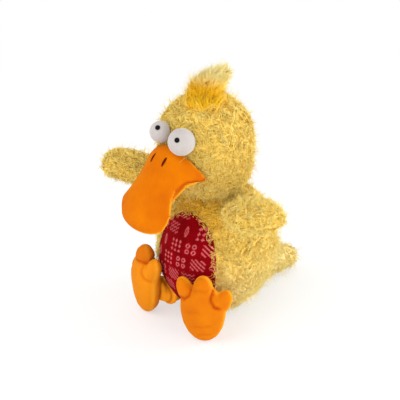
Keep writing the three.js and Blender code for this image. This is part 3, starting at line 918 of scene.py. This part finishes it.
# The cotton: its grid, its reach above the CAD panel, and how it lies on the body, tucked in at the edge
BELLY_GRID = 104
BELLY_RISE = 5 * MM
BELLY_CLOTH = {"ahead": 50 * MM, "steps": 12, "offset": 0.4 * MM, "tuck": 2.0 * MM, "edge": 0.03}
BELLY_THICKNESS = 1.6 * MM

# The torso's fur: how far it comes over the cotton, the curls on and beside that, and the bare seat
FUR_PAST_BELLY = 8 * MM
FUR_OVER_BELLY = 1.5 * MM
EDGE_FUR = {"over": 2.5 * MM, "above": 50 * MM}
SIDE_FUR = {"right_of": -20 * MM, "ahead_of": 5 * MM, "height": 78 * MM, "reach": 26 * MM}
SEAT = {"height": 3 * MM, "slope": -0.9}

# The print: its cells, and for each motif how far apart its shapes repeat and half of their sizes
PRINT_CELL = {"across": 17 * MM, "up": 15 * MM, "side_gap": 1.8 * MM, "end_gap": 1.6 * MM}
PRINT_LINE = 0.5 * MM
RINGS = {"across": 6.4 * MM, "up": 5.8 * MM, "radius": 1.7 * MM}
ZIGZAG = {"across": 4 * MM, "up": 3.6 * MM, "swing": 1 * MM}
CROSSES = {"step": 4.6 * MM, "arm": 1.5 * MM}
STRIPES = {"step": 4.2 * MM, "line": 0.7 * MM}
LEAF = {"half": 1.7 * MM, "taper": 3.4 * MM, "edge": 0.4 * MM, "rib": 0.35 * MM, "length": 5 * MM}


def belly_box():
    """The belly panel's box, with the cotton reaching further up the chest and less far to the right."""
    low, high = (np.array(corner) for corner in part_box("belly_panel"))
    return low + np.array([FUR_PAST_BELLY, 0, 0]), high + np.array([0, 0, BELLY_RISE])


def band(distance, half_width, soft=0.25 * MM):
    """1 within a distance of a line and 0 beyond it, with a soft edge."""
    return np.clip((half_width - np.abs(distance)) / soft + 0.5, 0, 1)


def repeat(values, step):
    """How far values are from the nearest multiple of a step."""
    return values - step * np.round(values / step)


def print_rings(x, z):
    across, up = RINGS["across"], RINGS["up"]
    radius = np.hypot(repeat(x - across / 2, across), repeat(z - up / 2, up))
    return band(radius - RINGS["radius"], PRINT_LINE)


def print_zigzag(x, z):
    wave = np.abs(repeat(x, ZIGZAG["across"])) - ZIGZAG["swing"]
    return band(repeat(z - wave, ZIGZAG["up"]), PRINT_LINE)


def print_crosses(x, z):
    u, v = repeat(x, CROSSES["step"]), repeat(z, CROSSES["step"])
    upright, level = (band(a, PRINT_LINE) * band(b, CROSSES["arm"]) for a, b in ((u, v), (v, u)))
    return np.maximum(upright, level)


def print_stripes(x, z):
    return band(repeat(x + z, STRIPES["step"]), STRIPES["line"])


def print_leaf(x, z):
    half = LEAF["half"] * np.cos(np.clip(z / LEAF["taper"], -math.pi / 2, math.pi / 2))
    blade = band(np.abs(x) - half, LEAF["edge"])
    return np.maximum(blade, band(x, LEAF["rib"])) * band(z, LEAF["length"])


def belly_print(x, z):
    """How much ink lies at a place: rows of cells with one simple motif each, every other row shifted."""
    motifs = [print_rings, print_zigzag, print_crosses, print_stripes, print_leaf]
    across, up = PRINT_CELL["across"], PRINT_CELL["up"]
    ink = np.zeros_like(x)
    row = np.floor(z / up)
    shifted = x + (row % 2) * across / 2
    column = np.floor(shifted / across)
    u, v = shifted - (column + 0.5) * across, z - (row + 0.5) * up
    inside = band(u, across / 2 - PRINT_CELL["side_gap"]) * band(v, up / 2 - PRINT_CELL["end_gap"])
    choice = (2 * row + 3 * column) % len(motifs)
    for index, motif in enumerate(motifs):
        ink = np.where(choice == index, motif(u, v) * inside, ink)
    return ink


def belly_places():
    """A grid of places over the belly's round outline: x, z, and the share of the way out to its edge."""
    low, high = belly_box()
    (middle_x, _, middle_z), (half_x, _, half_z) = (low + high) / 2, (high - low) / 2
    steps = np.linspace(-1, 1, BELLY_GRID)
    u, v = (part.ravel() for part in np.meshgrid(steps, steps))
    x = middle_x + half_x * u * np.sqrt(1 - v**2 / 2)
    z = middle_z + half_z * v * np.sqrt(1 - u**2 / 2)
    return x, z, np.maximum(np.abs(u), np.abs(v))


def belly(torso_form):
    """A printed cotton panel over the front of the body, its edge tucked under fur, with curls on its rim."""
    x, z, edge = belly_places()
    low, high = belly_box()
    ahead = low[1] - BELLY_CLOTH["ahead"]
    front = [torso_form.struck((px, ahead, pz), (0, 1, 0)) for px, pz in zip(x, z)]
    index = np.arange(BELLY_GRID**2).reshape(BELLY_GRID, BELLY_GRID)
    quads = np.stack([index[:-1, :-1], index[:-1, 1:], index[1:, 1:], index[1:, :-1]], axis=-1)
    cotton = mesh_object("belly_cotton", front, quads.reshape(-1, 4).tolist())
    smooth(cotton, BELLY_CLOTH["steps"])
    tuck = np.clip((edge - (1 - BELLY_CLOTH["edge"])) / BELLY_CLOTH["edge"], 0, 1) ** 2
    lift = BELLY_CLOTH["offset"] - BELLY_CLOTH["tuck"] * tuck
    set_points(cotton, points_of(cotton) + normals_of(cotton) * lift[:, None])
    add_value(cotton, "print", belly_print(x, z - (low[2] + high[2]) / 2))
    modifier = cotton.modifiers.new("thickness", "SOLIDIFY")
    modifier.thickness = BELLY_THICKNESS
    apply_modifiers(cotton)
    curls = furred("belly_edge_pile", cotton, [EDGE_CURLS], allowed=belly_rim)
    dress(curls, FUR_PILE, "fur", "torso")
    dress(cotton, COTTON, "cotton", "torso", "belly_panel")


def outside_belly(roots, margin=FUR_OVER_BELLY):
    """Which roots of the fur lie off the cotton, or on the rim that the curls grow over."""
    low, high = belly_box()
    half = (high - low) / 2 - margin
    from_middle = (roots - (low + high) / 2) / half
    return (roots[:, 1] > 0) | (np.hypot(from_middle[:, 0], from_middle[:, 2]) > 1)


def belly_rim(roots, normals):
    """Where curls stand on the cotton itself, along the upper part of its edge."""
    return outside_belly(roots, EDGE_FUR["over"]) & (normals[:, 1] < 0) & (roots[:, 2] > EDGE_FUR["above"])


def belly_side(roots, normals):
    """Where longer curls stand beside the cotton, on the duck's right."""
    beside = (roots[:, 0] < SIDE_FUR["right_of"]) & (roots[:, 1] < SIDE_FUR["ahead_of"])
    level = np.abs(roots[:, 2] - SIDE_FUR["height"]) < SIDE_FUR["reach"]
    return beside & level & outside_belly(roots, 0)


def torso_fur(roots, normals):
    """Which roots the torso's fur grows at: not on the seat, and not on the belly."""
    return (roots[:, 2] > SEAT["height"]) & (normals[:, 2] > SEAT["slope"]) & outside_belly(roots)


# Feet

FOOT_CLOTH = {"voxel": 1.2 * MM, "steps": 8, "swell": 0.4 * MM}
FOOT_FOLDS = {"steps": 14, "gain": 2.5}
FOOT_TURN_OUT = math.radians(22)
FOOT_STRETCH = {"left": 1.0, "right": 1.06}
# Painted highlight on the feet's edges, and painted light over each sole, more on the right foot's
FOOT_RIM_HIGHLIGHT = 0.7
SOLE_PAINTED_LIGHT = {"left": 0.1, "right": 0.3}
LEG_CLOTH = {"voxel": 1.3 * MM, "steps": 12, "swell": 1.0 * MM}
LEG_CLEARANCE = 0.2 * MM
GATHERS = {"pitch": 9 * MM, "depth": 0.9 * MM, "crease_shade": 0.6}

# Creases of the sole: places out from the foot's middle and up from the floor, width and depth, all in mm
SOLE_CREASES = [
    ([(11, 60), (11.5, 51), (16, 43.5), (22, 41)], 1.8, 2.2),
    ([(-10.5, 60), (-12, 51), (-17, 46), (-26, 43)], 1.8, 2.0),
    ([(-7, 57), (1, 59), (9, 57.5)], 1.6, 0.7),
    ([(-4, 19), (6, 21.5), (14, 23)], 1.5, 0.5),
    ([(-1, 10), (6, 11), (12, 12.5)], 1.5, 0.6),
    ([(-12, 33), (-6, 36), (3, 36.5)], 2.0, 0.4),
]
# How a crease is followed along its course, fades to its end and is coloured with painted shade, fully where
# it is that deep
CREASE = {"ahead": 0.2, "steps": 24, "fade": 6, "end": 0.1, "full": 2 * MM, "crease_shade": 0.8}
CREASE_STRENGTH = {"left": 1.0, "right": 0.5}

# The crease around the middle toe: its height and reach to either side, and how much painted shade the toe
# above it takes
TOE_CREASE = {"up": 60 * MM, "reach": 11 * MM, "soft": 0.3, "width": 1.7 * MM, "bend": 2 * MM, "crease_shade": 0.5}
TOE_DEPTH = {"left": 0.3 * MM, "right": 1.6 * MM}


def foot_ways(side):
    """The way that a foot's sole faces, and the way out from the duck's middle along it."""
    turn = SIDES[side] * FOOT_TURN_OUT
    facing = np.array([math.sin(turn), -math.cos(turn), 0])
    return facing, SIDES[side] * np.array([math.cos(turn), math.sin(turn), 0])


def foot_middle(out):
    return (out.min() + out.max()) / 2


def sole_creases(cloth, side):
    """How far the sole's creases sink each point, and the painted shade that they give it."""
    facing, outward = foot_ways(side)
    co, form = points_of(cloth), Form(cloth)
    middle = foot_middle(co @ outward)
    sink, crease_shade = np.zeros(len(co)), np.zeros(len(co))
    for places, width, depth in SOLE_CREASES:
        course = np.array(places) * MM
        steps = np.linspace(0, len(course) - 1, CREASE["steps"])
        line = np.column_stack([np.interp(steps, range(len(course)), course[:, k]) for k in range(2)])
        for share, (across, up) in zip(steps / steps[-1], line):
            place = form.struck(outward * (middle + across) + facing * CREASE["ahead"] + (0, 0, up), -facing)
            if place is None:
                continue
            away = np.linalg.norm(co - np.array(place), axis=1) / (width * MM)
            groove = np.exp(-(away**2)) * min(1, CREASE["fade"] * (1 - share) + CREASE["end"])
            groove *= CREASE_STRENGTH[side]
            sink = np.maximum(sink, groove * depth * MM)
            crease_shade = np.maximum(crease_shade, groove * min(1, depth * MM / CREASE["full"]) * CREASE["crease_shade"])
    return sink, crease_shade


def toe_crease(cloth, side):
    """The same for the crease around the middle toe, whose tip above it gets painted shade too."""
    co = points_of(cloth)
    out = co @ foot_ways(side)[1]
    away = np.abs(out - foot_middle(out)) / TOE_CREASE["reach"]
    across = np.clip((1 + TOE_CREASE["soft"] - away) / TOE_CREASE["soft"], 0, 1)
    above = co[:, 2] - TOE_CREASE["up"]
    ring = np.exp(-((above / TOE_CREASE["width"]) ** 2)) * across
    bent = smooth_share(above / TOE_CREASE["bend"]) * across
    full = min(1, TOE_DEPTH[side] / CREASE["full"])
    return ring * TOE_DEPTH[side], np.maximum(ring, TOE_CREASE["crease_shade"] * bent) * full


def press_creases(cloth, side):
    """Presses all the creases into a foot, and paints shade into them."""
    (sink, crease_shade), (toe_sink, toe_shade) = sole_creases(cloth, side), toe_crease(cloth, side)
    set_points(cloth, points_of(cloth) - np.maximum(sink, toe_sink)[:, None] * normals_of(cloth))
    add_value(cloth, "crease_shade", np.maximum(crease_shade, toe_shade))


def foot(side):
    cloth = soft_form(f"{side}_foot_cloth", foot_nodes(side), **FOOT_CLOTH)
    deepen_folds(cloth, **FOOT_FOLDS)
    set_points(cloth, points_of(cloth) * np.array([1, 1, FOOT_STRETCH[side]]))
    press_creases(cloth, side)
    # Painted highlight on the foot's edges and painted light over its sole
    tint_rim(cloth, foot_ways(side)[0], FOOT_RIM_HIGHLIGHT, least=SOLE_PAINTED_LIGHT[side])
    dress(cloth, VELOUR, "velour", f"{side}_leg", *foot_nodes(side), stuffed=0.8)
    return cloth


def leg(side, forms):
    """The leg's cloth, gathered into soft rings between the hip and the foot, with painted shade in their
    hollows.
    """
    cloth = soft_form(f"{side}_leg_cloth", [f"{side}_leg"], **LEG_CLOTH)
    co = points_of(cloth)
    gathers = np.cos(2 * math.pi * (co[:, 1] - co[:, 1].min()) / GATHERS["pitch"])
    set_points(cloth, co - GATHERS["depth"] * gathers[:, None] * normals_of(cloth))
    # Painted shade in the gathers' hollows
    add_value(cloth, "crease_shade", np.clip(gathers, 0, 1) ** 3 * GATHERS["crease_shade"])
    keep_off(cloth, forms, LEG_CLEARANCE)
    dress(cloth, LEG_LIT_VELOUR, "velour", f"{side}_leg", f"{side}_leg", stuffed=0.6)
    return cloth


# Build

GUIDE = {"voxel": 2 * MM, "steps": 14}

# Painted shade: the fur deeper in colour under the chin. Painted light: the fur paling downwards
THROAT_PAINTED_SHADE = {"middle": (14 * MM, -48 * MM, 122 * MM), "inner": 18 * MM, "outer": 48 * MM, "most": 0.8}
TORSO_PAINTED_LIGHT = {"start": 90 * MM, "end": 25 * MM, "most": 0.4}
WING_PAINTED_LIGHT = {"start": 140 * MM, "end": 108 * MM, "most": 0.35}

head_guide = soft_form("head_guide", HEAD_NODES, **GUIDE)
torso_guide = soft_form("torso_guide", TORSO_NODES, **GUIDE)
head_form, torso_form = Form(head_guide), Form(torso_guide)

upper_bill, lower_bill = bill(head_form)
bill_forms = [Form(upper_bill), Form(lower_bill)]
for side in SIDES:
    nostril(side, bill_forms[0])
eyes = [eye(side, [head_form, bill_forms[0]]) for side in SIDES]
belly(torso_form)

feet = {side: foot(side) for side in SIDES}
legs = {side: leg(side, [Form(feet[side]), torso_form]) for side in SIDES}
limb_forms = [Form(obj) for obj in [*feet.values(), *legs.values()]]

face_forms = [*bill_forms, *[Form(ball) for ball in eyes]]
head_cloth, head_pile = furred_piece("head", HEAD_NODES, obstacles=face_forms)
tuft(head_cloth, head_pile)
torso_obstacles = [*limb_forms, head_form, *bill_forms]
torso_cloth, torso_pile = furred_piece("torso", TORSO_NODES, obstacles=torso_obstacles, allowed=torso_fur)
# Painted shade: the throat's fur deepened to amber under the chin
tint_amber_and_painted_shade(torso_pile, **THROAT_PAINTED_SHADE)
side_pile = furred("belly_side_pile", torso_cloth, [SIDE_CURLS], obstacles=limb_forms, allowed=belly_side)
dress(side_pile, FUR_PILE, "fur", "torso")
# Painted light: the wings pale downwards
for side in SIDES:
    for piece in furred_piece(f"{side}_wing", wing_nodes(side), obstacles=[torso_form]):
        tint_pale_and_painted_light(piece, **WING_PAINTED_LIGHT)
tail_pieces = furred_piece("tail", ["tail"], obstacles=[torso_form])
# Painted light: the body, its side curls and the tail pale downwards
for piece in (torso_cloth, torso_pile, side_pile, *tail_pieces):
    tint_pale_and_painted_light(piece, **TORSO_PAINTED_LIGHT)
for guide in (head_guide, torso_guide):
    bpy.data.objects.remove(guide)


# Stage

# The floor that the camera sees turns plain white away from the duck, and keeps the duck's shadow under it
FLOOR_REACH = 6.0
FLOOR_GREY = (0.9, 0.9, 0.9, 1)
SHADOW_FLOOR = {"white": 0.55, "from": 0.2, "to": 0.9}
ROOM_LIGHT = 0.9

# Lamps: azimuth and elevation in degrees, distance and size in metres, power in watts
LAMPS = {
    "key": (144, 10, 1.3, 0.7, 10),
    "low": (98, 4, 1.2, 0.6, 3.5),
    "fill": (-10, 40, 1.5, 1.4, 10),
    "front": (40, 5, 1.4, 0.6, 3.8),
}


def looked_at(tree, share=1.0):
    """That share for what the camera sees, straight, mirrored or through glass, and 0 for other light."""
    rays = node(tree, "LightPath").outputs
    seen = rays["Is Camera Ray"]
    for kind in ("Is Glossy Ray", "Is Transmission Ray"):
        seen = maths(tree, "MAXIMUM", seen, rays[kind])
    return maths(tree, "MULTIPLY", seen, share)


def floor():
    material, tree = new_material("floor")
    plain = node(tree, "BsdfDiffuse", {"Color": FLOOR_GREY}).outputs["BSDF"]
    glow = node(tree, "Emission", {"Color": WHITE, "Strength": 1.0}).outputs["Emission"]
    place = node(tree, "TexCoord").outputs["Object"]
    away = node(tree, "VectorMath", {0: place}, operation="LENGTH").outputs["Value"]
    white = remapped(tree, away, SHADOW_FLOOR["white"], 1.0, SHADOW_FLOOR["from"], SHADOW_FLOOR["to"])
    mixed = node(tree, "MixShader", {0: looked_at(tree, white), 1: plain, 2: glow})
    node(tree, "OutputMaterial", {"Surface": mixed.outputs["Shader"]})
    corners = [(x * FLOOR_REACH, y * FLOOR_REACH, 0) for x, y in ((-1, -1), (1, -1), (1, 1), (-1, 1))]
    obj = mesh_object("floor", corners, [[0, 1, 2, 3]])
    obj.data.materials.append(material)


def world():
    made = bpy.data.worlds.new("studio")
    bpy.context.scene.world = made
    made.use_nodes = True
    tree = made.node_tree
    tree.nodes.clear()
    room, white = (
        node(tree, "Background", {"Color": WHITE, "Strength": strength}).outputs["Background"]
        for strength in (ROOM_LIGHT, 1.0)
    )
    mixed = node(tree, "MixShader", {0: looked_at(tree), 1: room, 2: white})
    node(tree, "OutputWorld", {"Surface": mixed.outputs["Shader"]})


def towards(azimuth, elevation):
    """The direction of a view: azimuth 0 is the duck's front, and 90 degrees its left side."""
    level = math.cos(elevation)
    return Vector((math.sin(azimuth) * level, -math.cos(azimuth) * level, math.sin(elevation)))


def aim(obj, way, distance):
    """Puts a lamp or camera that far along a way from the middle of the view, looking back at it."""
    obj.location = VIEW_MIDDLE + way * distance
    obj.rotation_euler = way.to_track_quat("Z", "Y").to_euler()


def lamp(name, azimuth, elevation, distance, size, watts):
    data = bpy.data.lights.new(name, "AREA")
    data.shape = "DISK"
    data.size = size
    data.energy = watts
    aim(show(name, data), towards(math.radians(azimuth), math.radians(elevation)), distance)


def camera():
    data = bpy.data.cameras.new("camera")
    data.sensor_width = 36.0
    data.lens = data.sensor_width * CAMERA_DISTANCE / VIEW_WIDTH
    obj = show("camera", data)
    aim(obj, towards(CAMERA_AZIMUTH, CAMERA_ELEVATION), CAMERA_DISTANCE)
    bpy.context.scene.camera = obj


floor()
world()
for name, settings in LAMPS.items():
    lamp(name, *settings)
camera()
bpy.context.scene.view_settings.view_transform = "Standard"
